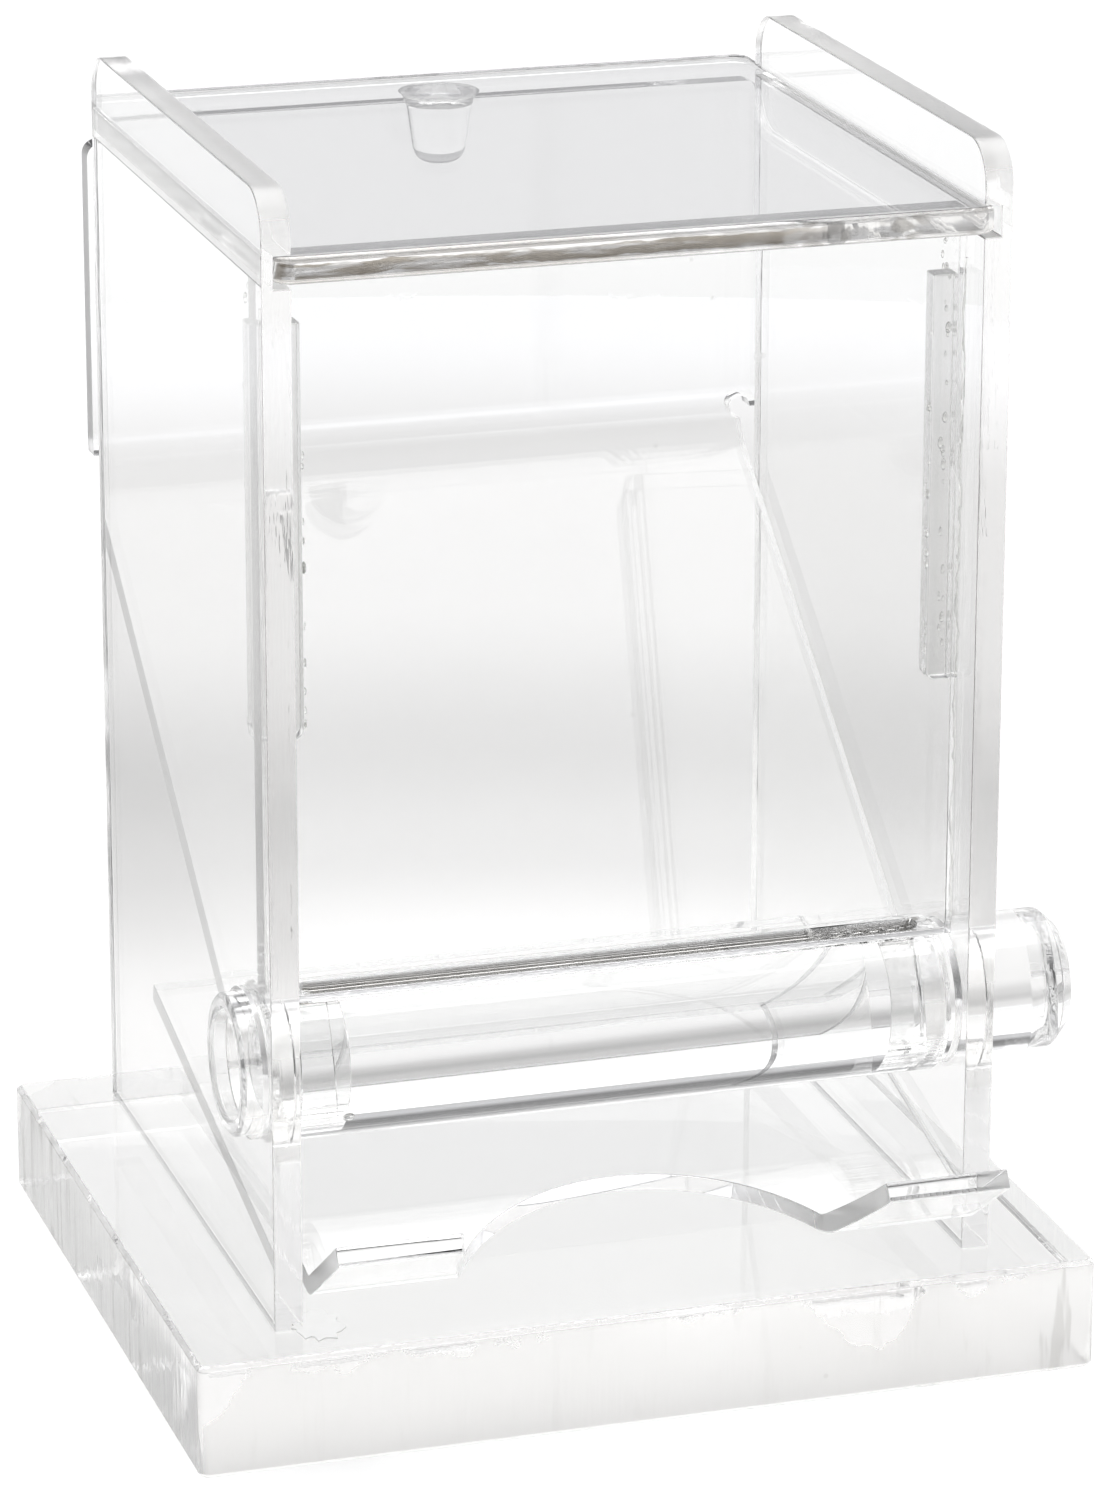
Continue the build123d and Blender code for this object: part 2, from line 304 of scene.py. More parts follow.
def make_handling_group():
    """Handling marks on clear sheet: fine scratches, a haze of fingertips and specks of dust."""
    group, given, out = new_group(
        "handling marks",
        {"Scratches": 0.5, "Haze": 0.5, "Dust": 0.5, "Flow": 0.5},
        {"Roughness": "NodeSocketFloat", "Dust": "NodeSocketFloat", "Height": "NodeSocketFloat"},
    )
    coords = add(group, "ShaderNodeTexCoord")
    marks = None
    for turn, scale in (((0.4, 0.2, 0.5), 260.0), ((1.1, 0.9, -0.6), 310.0)):
        turned = add(group, "ShaderNodeMapping", {"Rotation": turn, "Scale": (1.0, 0.02, 1.0)})
        streak = add(group, "ShaderNodeTexNoise", {"Scale": scale, "Detail": 2.0})
        thin = add(group, "ShaderNodeMapRange", {"From Min": 0.665, "From Max": 0.70})
        link(
            group,
            (coords.outputs["Object"], turned.inputs["Vector"]),
            (turned.outputs[0], streak.inputs["Vector"]),
            (streak.outputs["Fac"], thin.inputs["Value"]),
        )
        thin = thin.outputs[0]
        marks = thin if marks is None else math_node(group, "MAXIMUM", marks, thin)
    patches = add(group, "ShaderNodeTexNoise", {"Scale": 55.0, "Detail": 4.0, "Roughness": 0.55})
    haze = add(group, "ShaderNodeMapRange", {"From Min": 0.52, "From Max": 0.78})
    specks = add(group, "ShaderNodeTexVoronoi", {"Scale": 170.0, "Randomness": 1.0})
    speck = add(group, "ShaderNodeMapRange", {"From Min": 0.055, "From Max": 0.03})
    rare = add(group, "ShaderNodeTexNoise", {"Scale": 60.0})
    kept = add(group, "ShaderNodeMapRange", {"From Min": 0.58, "From Max": 0.64})
    flow = add(group, "ShaderNodeTexNoise", {"Scale": 22.0, "Detail": 1.0})
    for texture in (patches, specks, rare, flow):
        link(group, (coords.outputs["Object"], texture.inputs["Vector"]))
    link(
        group,
        (patches.outputs["Fac"], haze.inputs["Value"]),
        (specks.outputs["Distance"], speck.inputs["Value"]),
        (rare.outputs["Fac"], kept.inputs["Value"]),
    )
    scratch = math_node(group, "MULTIPLY", marks, given.outputs["Scratches"])
    bloom = math_node(group, "MULTIPLY", haze.outputs[0], given.outputs["Haze"])
    dust = math_node(group, "MULTIPLY", speck.outputs[0], kept.outputs[0])
    dust = math_node(group, "MULTIPLY", dust, given.outputs["Dust"])
    rough = math_node(group, "ADD", math_node(group, "MULTIPLY", scratch, 0.10),
                      math_node(group, "MULTIPLY", bloom, 0.03))
    rough = math_node(group, "ADD", rough, math_node(group, "MULTIPLY", dust, 0.5))
    rolled = math_node(group, "MULTIPLY", flow.outputs["Fac"], given.outputs["Flow"])
    height = math_node(group, "SUBTRACT", rolled, math_node(group, "MULTIPLY", scratch, 0.02))
    link(
        group,
        (rough, out.inputs["Roughness"]),
        (dust, out.inputs["Dust"]),
        (height, out.inputs["Height"]),
    )
    return group


cut_edges = make_cut_edge_group()
handling = make_handling_group()


def acrylic(name, flat_axis=None, edge_rough=0.12, edge_bump=0.25, line_scale=900.0,
            clear=(0.972, 0.973, 0.972), edge_colour=(0.93, 0.93, 0.92),
            scratches=0.4, haze=0.5, dust=0.5, flow=0.35, base_rough=0.0, stains_and_shade=()):
    """Clear acrylic. flat_axis names the axes that a sheet's broad faces look along, or None for a rod.

    The stain layers are (function, colour, roughness), for real stains and for painted shade alike. Each
    function adds its mask to the tree and returns it.
    """
    material, tree = new_material(name)
    tree.nodes.clear()
    shader = add(tree, "ShaderNodeBsdfPrincipled", {
        "Metallic": 0.0, "IOR": ACRYLIC_IOR, "Transmission Weight": 1.0,
        "Specular IOR Level": 0.5, "Coat Weight": 0.0})
    marks = add(tree, "ShaderNodeGroup", node_tree=handling)
    for label, value in (("Scratches", scratches), ("Haze", haze), ("Dust", dust), ("Flow", flow)):
        marks.inputs[label].default_value = value
    edge = add(tree, "ShaderNodeGroup", node_tree=cut_edges)
    for axis in "XYZ":
        edge.inputs["Across " + axis].default_value = 1.0 if axis in (flat_axis or "") else 0.0
    edge.inputs["Line Scale"].default_value = line_scale

    rough = math_node(tree, "ADD", marks.outputs["Roughness"], base_rough)
    colour = add(tree, "ShaderNodeMix", data_type="RGBA")
    colour.inputs["A"].default_value = (*clear, 1.0)
    colour.inputs["B"].default_value = (*edge_colour, 1.0)
    dusty = add(tree, "ShaderNodeMix", data_type="RGBA")
    dusty.inputs["B"].default_value = (*DUST_GREY, 1.0)
    height = marks.outputs["Height"]
    if flat_axis:
        sawn = math_node(tree, "MULTIPLY", edge.outputs["Mask"], edge_rough)
        rough = math_node(tree, "ADD", rough, sawn)
        lines = math_node(tree, "MULTIPLY", edge.outputs["Height"], edge_bump)
        height = math_node(tree, "ADD", height, lines)
        link(tree, (edge.outputs["Mask"], colour.inputs["Factor"]))
    else:
        colour.inputs["Factor"].default_value = 0.0
    stained_and_shaded = colour.outputs["Result"]
    for make_mask, tint, tooth in stains_and_shade:
        mask = make_mask(tree)
        layer = add(tree, "ShaderNodeMix", data_type="RGBA")
        layer.inputs["B"].default_value = (*tint, 1.0)
        link(tree, (mask, layer.inputs["Factor"]), (stained_and_shaded, layer.inputs["A"]))
        stained_and_shaded = layer.outputs["Result"]
        rough = math_node(tree, "ADD", rough, math_node(tree, "MULTIPLY", mask, tooth))
    bump = add(tree, "ShaderNodeBump", {"Strength": 1.0, "Distance": ACRYLIC_BUMP})
    link(
        tree,
        (stained_and_shaded, dusty.inputs["A"]),
        (marks.outputs["Dust"], dusty.inputs["Factor"]),
        (dusty.outputs["Result"], shader.inputs["Base Color"]),
        (rough, shader.inputs["Roughness"]),
        (height, bump.inputs["Height"]),
        (bump.outputs[0], shader.inputs["Normal"]),
    )
    path = add(tree, "ShaderNodeLightPath")
    clear_path = math_node(tree, "MAXIMUM", path.outputs["Is Shadow Ray"], path.outputs["Is Diffuse Ray"])
    passing = add(tree, "ShaderNodeBsdfTransparent", {"Color": SHADOW_TINT})
    mix = add(tree, "ShaderNodeMixShader")
    output = add(tree, "ShaderNodeOutputMaterial")
    link(
        tree,
        (clear_path, mix.inputs["Fac"]),
        (shader.outputs[0], mix.inputs[1]),
        (passing.outputs[0], mix.inputs[2]),
        (mix.outputs[0], output.inputs["Surface"]),
    )
    return material


# ---------------------------------------------------------------- pieces

def new_piece(bm, name, material, body, stands_for=(), sharp=35.0):
    """Turns bm into an object that rides on body, shaded smooth but for edges over sharp degrees."""
    mesh = bpy.data.meshes.new(name)
    for face in bm.faces:
        face.smooth = True
    bm.to_mesh(mesh)
    bm.free()
    mesh.set_sharp_from_angle(angle=radians(sharp))
    mesh.materials.append(material)
    piece = bpy.data.objects.new(name, mesh)
    bpy.context.scene.collection.objects.link(piece)
    evening = piece.modifiers.new("even normals", "WEIGHTED_NORMAL")
    evening.keep_sharp = True
    evening.weight = 100
    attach(piece, body)
    if stands_for:
        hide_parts(*stands_for)
    return piece


def polished(node, material, ease=SHEET_EASE):
    """Stands for a CAD node: its copy, with its sharp edges eased and its faces one glue line inside."""
    source = frame["nodes"][node]
    body = source["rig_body"]
    bm = bmesh.new()
    bm.from_mesh(source.data)
    bmesh.ops.remove_doubles(bm, verts=bm.verts, dist=WELD_DISTANCE)
    bmesh.ops.dissolve_limit(bm, angle_limit=radians(FLAT_ANGLE), verts=bm.verts, edges=bm.edges)
    corners = [e for e in bm.edges
               if len(e.link_faces) == 2 and e.calc_face_angle(0.0) > radians(CORNER_ANGLE)]
    bmesh.ops.bevel(bm, geom=corners, offset=ease, offset_type="OFFSET", segments=2, profile=0.5,
                    affect="EDGES", clamp_overlap=True, material=-1)
    low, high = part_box(node)
    middle = (low + high) / 2
    scale = Vector([(s - 2 * GLUE_LINE) / s for s in high - low])
    bmesh.ops.translate(bm, vec=-middle, verts=bm.verts)
    bmesh.ops.scale(bm, vec=scale, verts=bm.verts)
    bmesh.ops.translate(bm, vec=middle, verts=bm.verts)
    return new_piece(bm, node + "_finished", material, body, [node])


# ---------------------------------------------------------------- stains and painted shade

base_low, base_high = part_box("base_plate")
lid_low, lid_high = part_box("lid")


def base_front_grey(tree):
    """Greyed front and back edges of the base, flaked off to clear at the top, the left and in patches."""
    across = place(tree, "X")
    left_end = remap(tree, across, base_low.x + 6 * MM, base_low.x)
    knocked = base_low.x + 0.74 * (base_high.x - base_low.x)
    from_knock = math_node(tree, "ABSOLUTE", math_node(tree, "SUBTRACT", across, knocked))
    knock = remap(tree, from_knock, 7 * MM, 1 * MM)
    ragged = noise(tree, 240.0, (0.6, 1.0, 1.0), 6.0)
    flaked = remap(tree, place(tree, "Z"), base_low.z, base_high.z)
    for mask, share in ((ragged, 0.62), (left_end, 0.55), (knock, 0.5)):
        flaked = math_node(tree, "ADD", flaked, math_node(tree, "MULTIPLY", mask, share))
    return times(tree, facing_either(tree, "Y", 0.5, 0.9), remap(tree, flaked, 1.02, 0.99))


def base_front_scuffs(tree):
    """Slanting scuffs at the right end of the base's front edge, and faint ones all along it."""
    texture = add(tree, "ShaderNodeTexNoise", {"Scale": 420.0, "Detail": 3.0, "Roughness": 0.6})
    slanting = mapped(tree, (1.0, 1.0, 0.12), turn=(0.0, 0.62, 0.0))
    link(tree, (slanting, texture.inputs["Vector"]))
    lines = remap(tree, texture.outputs["Fac"], 0.57, 0.66)
    grow = remap(tree, place(tree, "X"), base_high.x - 24 * MM, base_high.x - 6 * MM)
    share = math_node(tree, "ADD", math_node(tree, "MULTIPLY", grow, 0.85), 0.15)
    return times(tree, facing(tree, "Y", -0.5, -0.9), lines, share)


def base_side_streaks(tree):
    """Upright saw streaks on the left and right edges of the base."""
    streaks = remap(tree, noise(tree, 520.0, (1.0, 1.0, 0.04), 4.0), -0.02, 0.10)
    patches = remap(tree, noise(tree, 70.0, (1.0, 1.0, 0.7), 3.0), -0.12, 0.10)
    return times(tree, facing_either(tree, "X", 0.5, 0.9), streaks, patches)


def front_foot_painted_shade(tree):
    """Painted shade: darkened bottom edge of the front sheet, over the roller."""
    return facing(tree, "Z", -0.3, -0.7)


def groove_painted_shade(tree):
    """Painted shade on the walls and floor of the roller's groove, in streaks: whatever lies inside the rod's
    own radius.
    """
    roller_low, roller_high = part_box("roller")
    middle, radius = (roller_low + roller_high) / 2, (roller_high.y - roller_low.y) / 2
    length = add(tree, "ShaderNodeVectorMath", operation="LENGTH")
    from_axis = mapped(tree, (0.0, 1.0, 1.0), shift=(0.0, -middle.y, -middle.z))
    link(tree, (from_axis, length.inputs[0]))
    reach = length.outputs["Value"]
    inside = remap(tree, reach, radius - 0.14 * MM, radius - 0.5 * MM)
    outside_bores = remap(tree, reach, SPIGOT_RADIUS + 0.1 * MM, SPIGOT_RADIUS + 0.4 * MM)
    off_right_end = math_node(tree, "SUBTRACT", 1.0, facing(tree, "X", 0.3, 0.7))
    off_left_end = math_node(tree, "SUBTRACT", 1.0, facing(tree, "X", -0.3, -0.7))
    streaks = remap(tree, noise(tree, 190.0, (0.12, 1.0, 1.0), 3.0), -0.25, 0.05)
    return times(tree, inside, outside_bores, off_right_end, off_left_end, streaks)


def side_top_frost(tree):
    """Top edges of the side panels, left as they came from the saw."""
    return facing(tree, "Z", 0.15, 0.5)


def lid_edge_band(tree):
    """Taupe band along the middle of the lid's front edge, wavy and broken, fading out near its right end."""
    middle = (lid_low.z + lid_high.z) / 2
    wave = math_node(tree, "MULTIPLY", noise(tree, 300.0, (1.0, 0.2, 0.2), 4.0), 1.0 * MM)
    height = math_node(tree, "ADD", place(tree, "Z"), wave)
    off = math_node(tree, "ABSOLUTE", math_node(tree, "SUBTRACT", height, middle))
    band = remap(tree, off, 0.66 * MM, 0.58 * MM)
    broken = remap(tree, noise(tree, 420.0, (0.3, 1.0, 2.2), 4.0), -0.20, 0.0)
    fade = remap(tree, place(tree, "X"), lid_high.x - 10 * MM, lid_high.x - 24 * MM)
    return times(tree, facing(tree, "Y", -0.3, -0.8), band, broken, fade)


def lid_edge_chips(tree):
    """Blotches and crescent chips at the right end of the lid's front edge."""
    cells = add(tree, "ShaderNodeTexVoronoi", {"Scale": 620.0, "Randomness": 1.0},
                feature="DISTANCE_TO_EDGE")
    slanting = mapped(tree, (0.55, 1.0, 1.0), turn=(0.0, 0.6, 0.0))
    link(tree, (slanting, cells.inputs["Vector"]))
    chips = remap(tree, cells.outputs["Distance"], 0.05, 0.16)
    patches = remap(tree, noise(tree, 150.0, (1.0, 1.0, 0.4), 2.0), -0.04, 0.05)
    grow = remap(tree, place(tree, "X"), lid_high.x - 30 * MM, lid_high.x - 18 * MM)
    return times(tree, facing(tree, "Y", -0.3, -0.8), chips, patches, grow)


base_finish = acrylic(
    "clear base slab", "Z", edge_rough=0.02, edge_bump=1.2, line_scale=420.0,
    clear=(0.985, 0.986, 0.985), edge_colour=(0.99, 0.99, 0.985),
    stains_and_shade=((base_front_grey, GREY_FILM, 0.34),
            (base_front_scuffs, SCUFF_GREY, 0.2),
            (base_side_streaks, STREAK_GREY, 0.10)))
side_finish = acrylic(
    "clear side sheet", "X", edge_rough=0.06, edge_bump=0.6, edge_colour=(0.97, 0.967, 0.96),
    stains_and_shade=((side_top_frost, SAW_FROST, 0.24),))
# The front sheet's darkened bottom edge is painted shade.
front_finish = acrylic(
    "clear front sheet", "Y", edge_rough=0.04, edge_bump=0.6, edge_colour=(0.72, 0.72, 0.715),
    stains_and_shade=((front_foot_painted_shade, FOOT_PAINTED_SHADE, 0.02),))
lid_finish = acrylic(
    "clear lid sheet", "Z", edge_rough=0.05, edge_bump=1.4, line_scale=260.0,
    clear=(0.985, 0.985, 0.99), edge_colour=(0.97, 0.965, 0.95),
    stains_and_shade=((lid_edge_band, BAND_TAUPE, 0.04),
            (lid_edge_chips, CHIP_TAUPE, 0.1)))
bent_finish = acrylic(
    "clear bent sheet", "YZ", edge_rough=0.35, edge_bump=0.12, edge_colour=(0.86, 0.86, 0.855),
    flow=0.6, haze=0.12)
strip_finish = acrylic(
    "clear corner strip", None, haze=1.0, base_rough=0.12, clear=(0.79, 0.79, 0.785), flow=1.2)
rod_finish = acrylic("clear turned rod", None, scratches=0.2, haze=0.3)
# The roller's darkened groove is painted shade.
roller_finish = acrylic(
    "clear grooved roller", None, scratches=0.2, haze=0.3,
    stains_and_shade=((groove_painted_shade, GROOVE_PAINTED_SHADE, 0.03),))
glue_finish = acrylic(
    "cured glue", None, haze=1.0, base_rough=0.05, clear=(0.90, 0.90, 0.89), flow=1.0)


# ---------------------------------------------------------------- glue and finished pieces

def milky_glue():
    """Glue that has run out of a joint and gone white: partly clear, with a rough skin."""
    material, tree = new_material("milky glue")
    shader = tree.nodes["Principled BSDF"]
    shader.inputs["Roughness"].default_value = 0.45
    shader.inputs["IOR"].default_value = ACRYLIC_IOR
    shader.inputs["Transmission Weight"].default_value = 0.15
    shade = add(tree, "ShaderNodeValToRGB")
    shade.color_ramp.elements[0].color = (0.93, 0.93, 0.925, 1)
    shade.color_ramp.elements[1].color = (1.0, 1.0, 1.0, 1)
    bump = add(tree, "ShaderNodeBump", {"Strength": 0.7, "Distance": GLUE_BUMP})
    grain = math_node(tree, "ADD", noise(tree, 700.0, detail=5.0), 0.5)
    link(
        tree,
        (grain, shade.inputs["Fac"]),
        (shade.outputs[0], shader.inputs["Base Color"]),
        (grain, bump.inputs["Height"]),
        (bump.outputs[0], shader.inputs["Normal"]),
    )
    return material


milky_finish = milky_glue()

polished("base_plate", base_finish, ease=FINE_EASE)
polished("left_side_panel", side_finish)
polished("right_side_panel", side_finish)
polished("front_panel", front_finish)
polished("left_corner_strip", strip_finish)
polished("right_corner_strip", strip_finish)
polished("rear_hopper_sheet", bent_finish)
polished("pick_tray", bent_finish)
polished("lid", lid_finish, ease=FINE_EASE)
polished("lid_stop_peg", rod_finish, ease=FINE_EASE)
polished("roller", roller_finish, ease=FINE_EASE)
polished("left_journal", rod_finish, ease=FINE_EASE)
polished("turning_knob", rod_finish, ease=FINE_EASE)


def glue_bead(name, foot, length, radius, seed, wander=0.12 * MM, step=1.1 * MM):
    """Thin uneven bead of glue running up a joint from foot, open underneath."""
    rng = random.Random(seed)
    bm = bmesh.new()
    ring = bmesh.ops.create_circle(bm, cap_ends=True, segments=8, radius=radius)["verts"]
    bmesh.ops.translate(bm, vec=foot, verts=ring)
    face = bm.faces[:][0]
    for _ in range(int(length / step)):
        grown = bmesh.ops.extrude_face_region(bm, geom=[face])["geom"]
        verts = [g for g in grown if isinstance(g, bmesh.types.BMVert)]
        bm.faces.remove(face)
        face = next(g for g in grown if isinstance(g, bmesh.types.BMFace))
        middle = sum((v.co for v in verts), Vector()) / len(verts)
        drift = Vector((foot[0] - middle.x, foot[1] - middle.y, 0)) * 0.4
        move = drift + Vector((rng.uniform(-wander, wander), rng.uniform(-wander, wander), step))
        swell = radius * rng.uniform(0.65, 1.25) / max((v.co - middle).length for v in verts)
        bmesh.ops.scale(bm, vec=(swell, swell, 1), verts=verts, space=Matrix.Translation(-middle))
        bmesh.ops.translate(bm, vec=move, verts=verts)
    bmesh.ops.recalc_face_normals(bm, faces=bm.faces)
    return new_piece(bm, name, glue_finish, "case", sharp=80.0)


def glue_drops(name, places, seed, squash=(0.6, 1.0, 1.5)):
    """Small cured drops of glue at places, each (x, y, z, radius)."""
    rng = random.Random(seed)
    bm = bmesh.new()
    for x, y, z, radius in places:
        drop = bmesh.ops.create_icosphere(bm, subdivisions=2, radius=radius)["verts"]
        size = [part * rng.uniform(0.75, 1.25) for part in squash]
        bmesh.ops.scale(bm, vec=size, verts=drop)
        bmesh.ops.translate(bm, vec=(x, y, z), verts=drop)
    return new_piece(bm, name, glue_finish, "case", sharp=80.0)


def glue_smear(name, centre, size, seed, thickness=0.12 * MM):
    """Flat run of glue on the base, with a ragged rim."""
    rng = random.Random(seed)
    bm = bmesh.new()
    rim = bmesh.ops.create_circle(bm, cap_ends=True, segments=40, radius=1.0)["verts"]
    for vert in rim:
        vert.co *= rng.uniform(0.62, 1.05)
    bmesh.ops.smooth_vert(bm, verts=rim, factor=0.35, use_axis_x=True, use_axis_y=True)
    bmesh.ops.scale(bm, vec=(size[0], size[1], 1), verts=bm.verts)
    bmesh.ops.translate(bm, vec=centre, verts=bm.verts)
    top = bmesh.ops.extrude_face_region(bm, geom=bm.faces[:])["geom"]
    top = [g for g in top if isinstance(g, bmesh.types.BMVert)]
    bmesh.ops.translate(bm, vec=(0, 0, thickness), verts=top)
    bmesh.ops.recalc_face_normals(bm, faces=bm.faces)
    return new_piece(bm, name, milky_finish, "case", sharp=60.0)


front_low, front_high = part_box("front_panel")
panel_left, panel_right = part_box("left_side_panel"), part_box("right_side_panel")
places_rng = random.Random(PLACES_SEED)

for side, edge_x in (("left", front_low.x), ("right", front_high.x)):
    inward = 1 if side == "left" else -1
    bead_x = edge_x + inward * 0.22 * MM
    glue_bead(side + "_front_glue_bead", (bead_x, front_low.y - 0.2 * MM, front_low.z + 1.5 * MM),
              front_high.z - front_low.z - 4 * MM, BEAD_RADIUS, BEAD_SEEDS[side])
    strip_low, strip_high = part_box(side + "_corner_strip")
    face_x = strip_high.x if side == "left" else strip_low.x
    drops = []
    for _ in range(STRIP_DROPS):
        rise = 0.02 + 0.9 * places_rng.random() ** 1.5
        drops.append((face_x + inward * 0.12 * MM,
                      strip_low.y + places_rng.uniform(0.1, 0.5) * MM,
                      strip_low.z + (strip_high.z - strip_low.z) * rise,
                      places_rng.uniform(0.16, 0.36) * MM))
    glue_drops(side + "_strip_glue_drops", drops, STRIP_DROPS_SEED)
    joint = [(edge_x + inward * places_rng.uniform(0.25, 0.9) * MM,
              strip_high.y + places_rng.uniform(0.15, 0.5) * MM,
              strip_low.z + (strip_high.z + 4 * MM - strip_low.z) * places_rng.random(),
              places_rng.uniform(0.12, 0.34) * MM)
             for _ in range(JOINT_DROPS)]
    glue_drops(side + "_joint_glue_drops", joint, JOINT_DROPS_SEED, (0.8, 0.6, 1.9))


def peg_glue_ring():
    """Ring of glue that flares from the stop peg's head to the lid."""
    peg_low, peg_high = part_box("lid_stop_peg")
    middle = (peg_low + peg_high) / 2
    radius = (peg_high.x - peg_low.x) / 2
    bm = bmesh.new()
    profile = ((-0.06, -1.3), (0.14, -0.55), (0.42, -0.18), (0.62, -0.05), (-0.06, -0.05))
    points = [bm.verts.new((middle.x + radius + out * MM, middle.y, peg_high.z + down * MM))
              for out, down in profile]
    loop = [bm.edges.new((points[i], points[(i + 1) % len(points)])) for i in range(len(points))]
    bmesh.ops.spin(bm, geom=points + loop, cent=middle, axis=(0, 0, 1), angle=2 * pi, steps=48,
                   use_merge=True)
    bmesh.ops.recalc_face_normals(bm, faces=bm.faces)
    return new_piece(bm, "lid_peg_glue_ring", glue_finish, "lid")


def roller_bubble():
    """Small flattened bubble left in the roller near its left end."""
    roller_low, roller_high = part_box("roller")
    bm = bmesh.new()
    bmesh.ops.create_icosphere(bm, subdivisions=3, radius=0.62 * MM)
    bmesh.ops.scale(bm, vec=(1.0, 0.5, 0.9), verts=bm.verts)
    bmesh.ops.translate(bm, vec=(roller_low.x + 5.6 * MM, roller_low.y + 1.5 * MM,
                                 (roller_low.z + roller_high.z) / 2 - 4.2 * MM), verts=bm.verts)
    return new_piece(bm, "roller_bubble", glue_finish, "roller", sharp=80.0)


peg_glue_ring()
roller_bubble()
smear_z = base_high.z + 0.03 * MM
glue_smear("left_foot_glue", (panel_left[1].x + 1.4 * MM, panel_left[0].y + 0.6 * MM, smear_z),
           (2.9 * MM, 4.6 * MM), LEFT_FOOT_SEED)
glue_smear("right_foot_glue", (panel_right[0].x - 0.6 * MM, panel_right[0].y + 12 * MM, smear_z),
           (1.0 * MM, 3.2 * MM), RIGHT_FOOT_SEED)


# ---------------------------------------------------------------- studio

def studio_object(bm, name, material):
    """Turns bm into an object of the studio."""
    mesh = bpy.data.meshes.new(name)
    bm.to_mesh(mesh)
    bm.free()
    mesh.materials.append(material)
    piece = bpy.data.objects.new(name, mesh)
    bpy.context.scene.collection.objects.link(piece)
    return piece


def fill_ramp(ramp, start, end, end_at, between):
    """Sets a ramp's colours: start at 0, end at end_at, and those between, as (place, colour)."""
    ramp.interpolation = "EASE"
    stops = ramp.elements
    stops[0].position, stops[0].color = 0.0, start
    stops[1].position, stops[1].color = end_at, end
    for along, colour in between:
        stops.new(along).color = colour


def build_floor():
    """White table top, just under the base.

    It is plain to the camera. Clear parts show it greyer in a ring round the object, a painted shadow, and
    reflections show painted shade on it, darker in front and at both sides as well.
    """
    bm = bmesh.new()
    bmesh.ops.create_grid(bm, x_segments=1, y_segments=1, size=TABLE_HALF_SIZE)
    bmesh.ops.translate(bm, vec=(0, 0, -TABLE_DROP), verts=bm.verts)
    material, tree = new_material("white table")
    shader = tree.nodes["Principled BSDF"]
    shader.inputs["Roughness"].default_value = 0.9
    shader.inputs["Specular IOR Level"].default_value = 0.0
    coords = add(tree, "ShaderNodeTexCoord")
    reach = add(tree, "ShaderNodeVectorMath", operation="LENGTH")
    ramp = add(tree, "ShaderNodeValToRGB")
    # The ramp's greys are painted shade round the object.
    fill_ramp(ramp.color_ramp, TABLE_MIDDLE, TABLE_RIM, TABLE_RIM_AT,
              [(along, (*(grey * part for part in TABLE_WARMTH), 1)) for along, grey in TABLE_SHADE_RING])
    front = remap(tree, place(tree, "Y"), *TABLE_FRONT_SHADE)
    beside = remap(tree, math_node(tree, "ABSOLUTE", place(tree, "X")), *TABLE_SIDE_SHADE)
    shaded = add(tree, "ShaderNodeVectorMath", operation="SCALE")
    level = add(tree, "ShaderNodeMix", {"A": TABLE_THROUGH_CLEAR}, data_type="FLOAT")
    path = add(tree, "ShaderNodeLightPath")
    seen = add(tree, "ShaderNodeMix", data_type="RGBA")
    seen.inputs["B"].default_value = TABLE_TO_CAMERA
    link(
        tree,
        (coords.outputs["Object"], reach.inputs[0]),
        (reach.outputs["Value"], ramp.inputs["Fac"]),
        (ramp.outputs["Color"], shaded.inputs[0]),
        (math_node(tree, "MULTIPLY", front, beside), level.inputs["B"]),
        (path.outputs["Is Reflection Ray"], level.inputs["Factor"]),
        (level.outputs["Result"], shaded.inputs["Scale"]),
        (shaded.outputs[0], seen.inputs["A"]),
        (path.outputs["Is Camera Ray"], seen.inputs["Factor"]),
        (seen.outputs["Result"], shader.inputs["Base Color"]),
    )
    floor = studio_object(bm, "table_top", material)


def build_surroundings():
    """White tent: bright overhead, dim low down, with dark flags at both sides and behind the camera."""
    world = bpy.data.worlds.new("white tent")
    bpy.context.scene.world = world
    world.use_nodes = True
    tree = world.node_tree
    tree.nodes.clear()
    coords = add(tree, "ShaderNodeTexCoord")
    part = add(tree, "ShaderNodeSeparateXYZ")
    link(tree, (coords.outputs["Generated"], part.inputs[0]))
    ramp = add(tree, "ShaderNodeValToRGB")
    fill_ramp(ramp.color_ramp, TENT_LOW, TENT_TOP, 1.0,
              [(along, (grey, grey, grey * TENT_BLUE, 1)) for along, grey in TENT_GREYS])
    link(tree, (part.outputs["Z"], ramp.inputs["Fac"]))
    front = remap(tree, part.outputs["Y"], *TENT_FRONT_FLAG, "LINEAR")
    sideways = math_node(tree, "ABSOLUTE", part.outputs["X"])
    flags = remap(tree, sideways, *TENT_SIDE_FLAGS, "LINEAR")
    strength = math_node(tree, "MULTIPLY", front, flags)
    light = add(tree, "ShaderNodeBackground")
    output = add(tree, "ShaderNodeOutputWorld")
    link(
        tree,
        (ramp.outputs["Color"], light.inputs["Color"]),
        (strength, light.inputs["Strength"]),
        (light.outputs[0], output.inputs["Surface"]),
    )


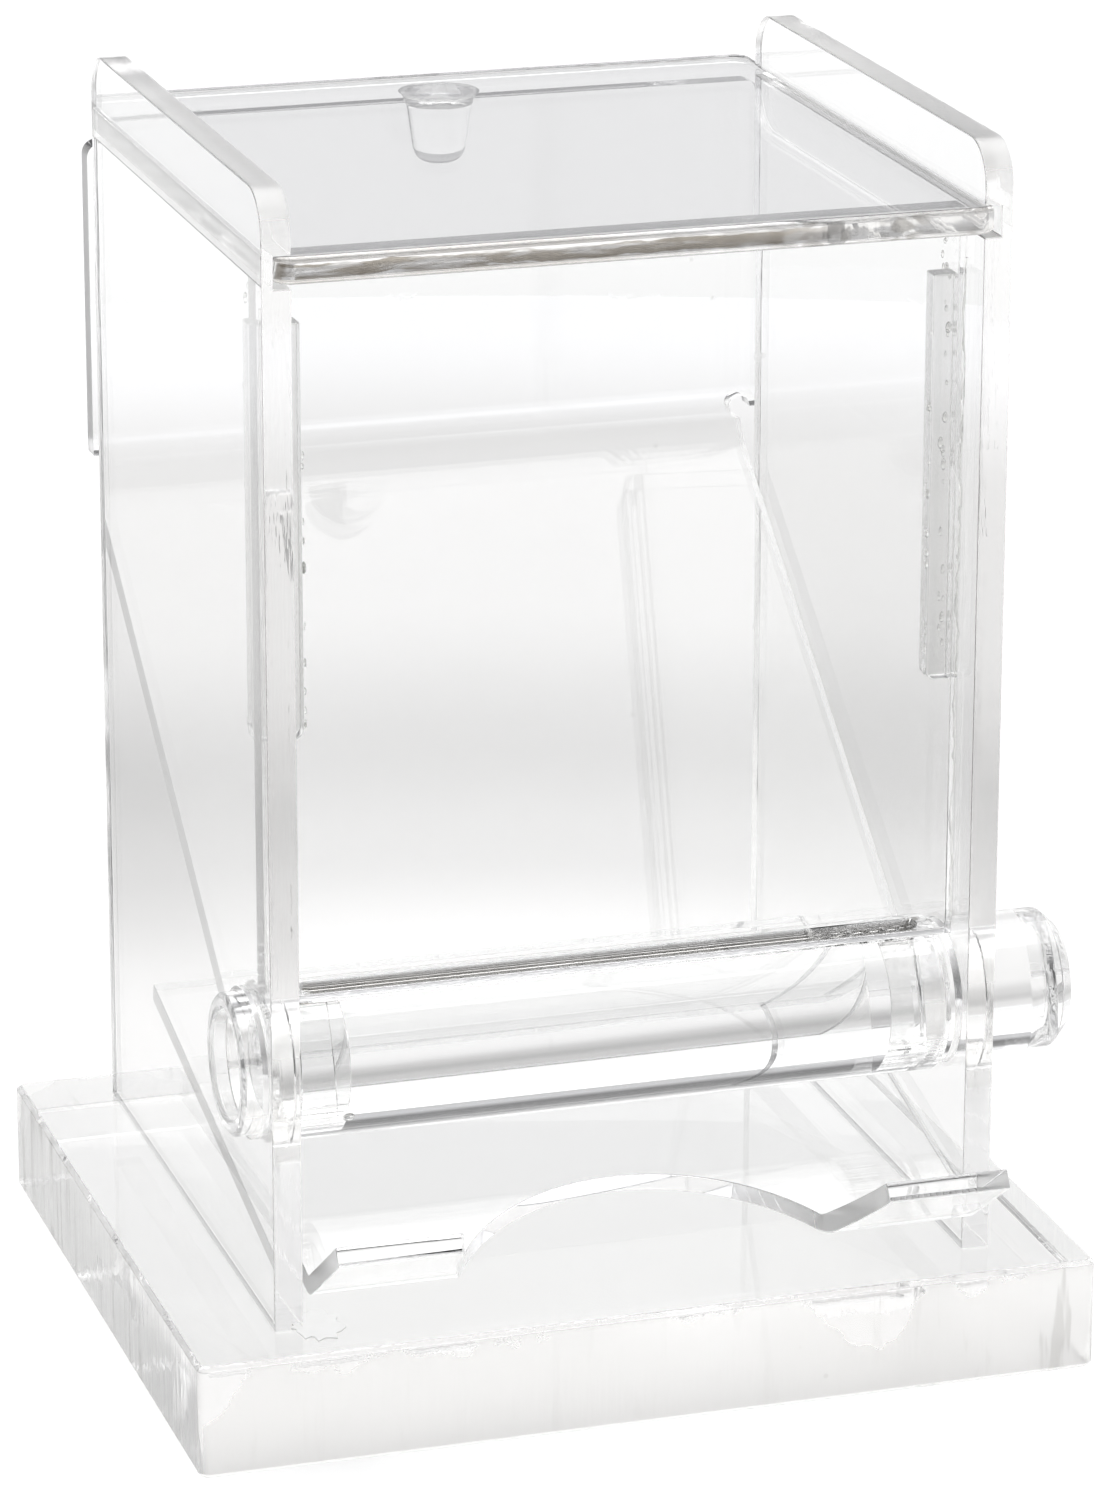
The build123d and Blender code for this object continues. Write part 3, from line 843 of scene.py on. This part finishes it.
def build_tent_wall():
    """Low white wall behind the object that glows inwards: only gloss and clear parts see it."""
    bm = bmesh.new()
    bmesh.ops.create_cone(bm, cap_ends=False, segments=96, radius1=WALL_RADIUS, radius2=WALL_RADIUS,
                          depth=WALL_HEIGHT)
    bmesh.ops.translate(bm, vec=(0, 0, WALL_HEIGHT / 2), verts=bm.verts)
    bmesh.ops.bisect_plane(bm, geom=bm.verts[:] + bm.edges[:] + bm.faces[:],
                           plane_co=(0, WALL_FRONT, 0), plane_no=(0, -1, 0), clear_outer=True)
    material, tree = new_material("tent wall")
    tree.nodes.clear()
    glow = add(tree, "ShaderNodeEmission")
    rise = remap(tree, place(tree, "Z"), 0.0, GLOW_RISE, *WALL_GLOW, "LINEAR")
    gone = add(tree, "ShaderNodeBsdfTransparent")
    geometry = add(tree, "ShaderNodeNewGeometry")
    mix = add(tree, "ShaderNodeMixShader")
    output = add(tree, "ShaderNodeOutputMaterial")
    link(
        tree,
        (rise, glow.inputs["Strength"]),
        (geometry.outputs["Backfacing"], mix.inputs["Fac"]),
        (gone.outputs[0], mix.inputs[1]),
        (glow.outputs[0], mix.inputs[2]),
        (mix.outputs[0], output.inputs["Surface"]),
    )
    wall = studio_object(bm, "tent_wall", material)
    wall.visible_camera = False
    wall.visible_diffuse = False
    wall.visible_shadow = False


def add_softbox():
    """Area light overhead, facing the middle of the table top."""
    lamp = bpy.data.lights.new("overhead softbox", "AREA")
    lamp.shape = "RECTANGLE"
    lamp.size, lamp.size_y = SOFTBOX_SIZE
    lamp.energy = SOFTBOX_POWER
    holder = bpy.data.objects.new("overhead softbox", lamp)
    holder.location = SOFTBOX_PLACE
    holder.rotation_euler = (-Vector(SOFTBOX_PLACE)).to_track_quat("-Z", "Y").to_euler()
    bpy.context.scene.collection.objects.link(holder)


def add_camera():
    """Camera a little left of the front and above, on a long lens."""
    azimuth, elevation, roll = radians(CAMERA_AZIMUTH), radians(CAMERA_ELEVATION), radians(CAMERA_ROLL)
    back = Vector((sin(azimuth) * cos(elevation), -cos(azimuth) * cos(elevation), sin(elevation)))
    level_right = Vector((0, 0, 1)).cross(back).normalized()
    level_up = back.cross(level_right)
    right = cos(roll) * level_right + sin(roll) * level_up
    up = cos(roll) * level_up - sin(roll) * level_right
    lens = bpy.data.cameras.new("long lens")
    lens.lens = LENS_LENGTH
    lens.sensor_width = SENSOR_WIDTH
    lens.clip_start, lens.clip_end = 0.01, 50.0
    camera = bpy.data.objects.new("camera", lens)
    turn = Matrix((right, up, back)).transposed().to_4x4()
    camera.matrix_world = Matrix.Translation(CAMERA_PLACE) @ turn
    bpy.context.scene.collection.objects.link(camera)
    bpy.context.scene.camera = camera


build_floor()
build_surroundings()
build_tent_wall()
add_softbox()
add_camera()

scene = bpy.context.scene
scene.view_settings.view_transform = "Standard"
scene.cycles.max_bounces = CLEAR_BOUNCES
scene.cycles.transmission_bounces = CLEAR_BOUNCES
scene.cycles.glossy_bounces = GLOSS_BOUNCES
scene.cycles.transparent_max_bounces = CLEAR_BOUNCES

bpy.context.view_layer.update()
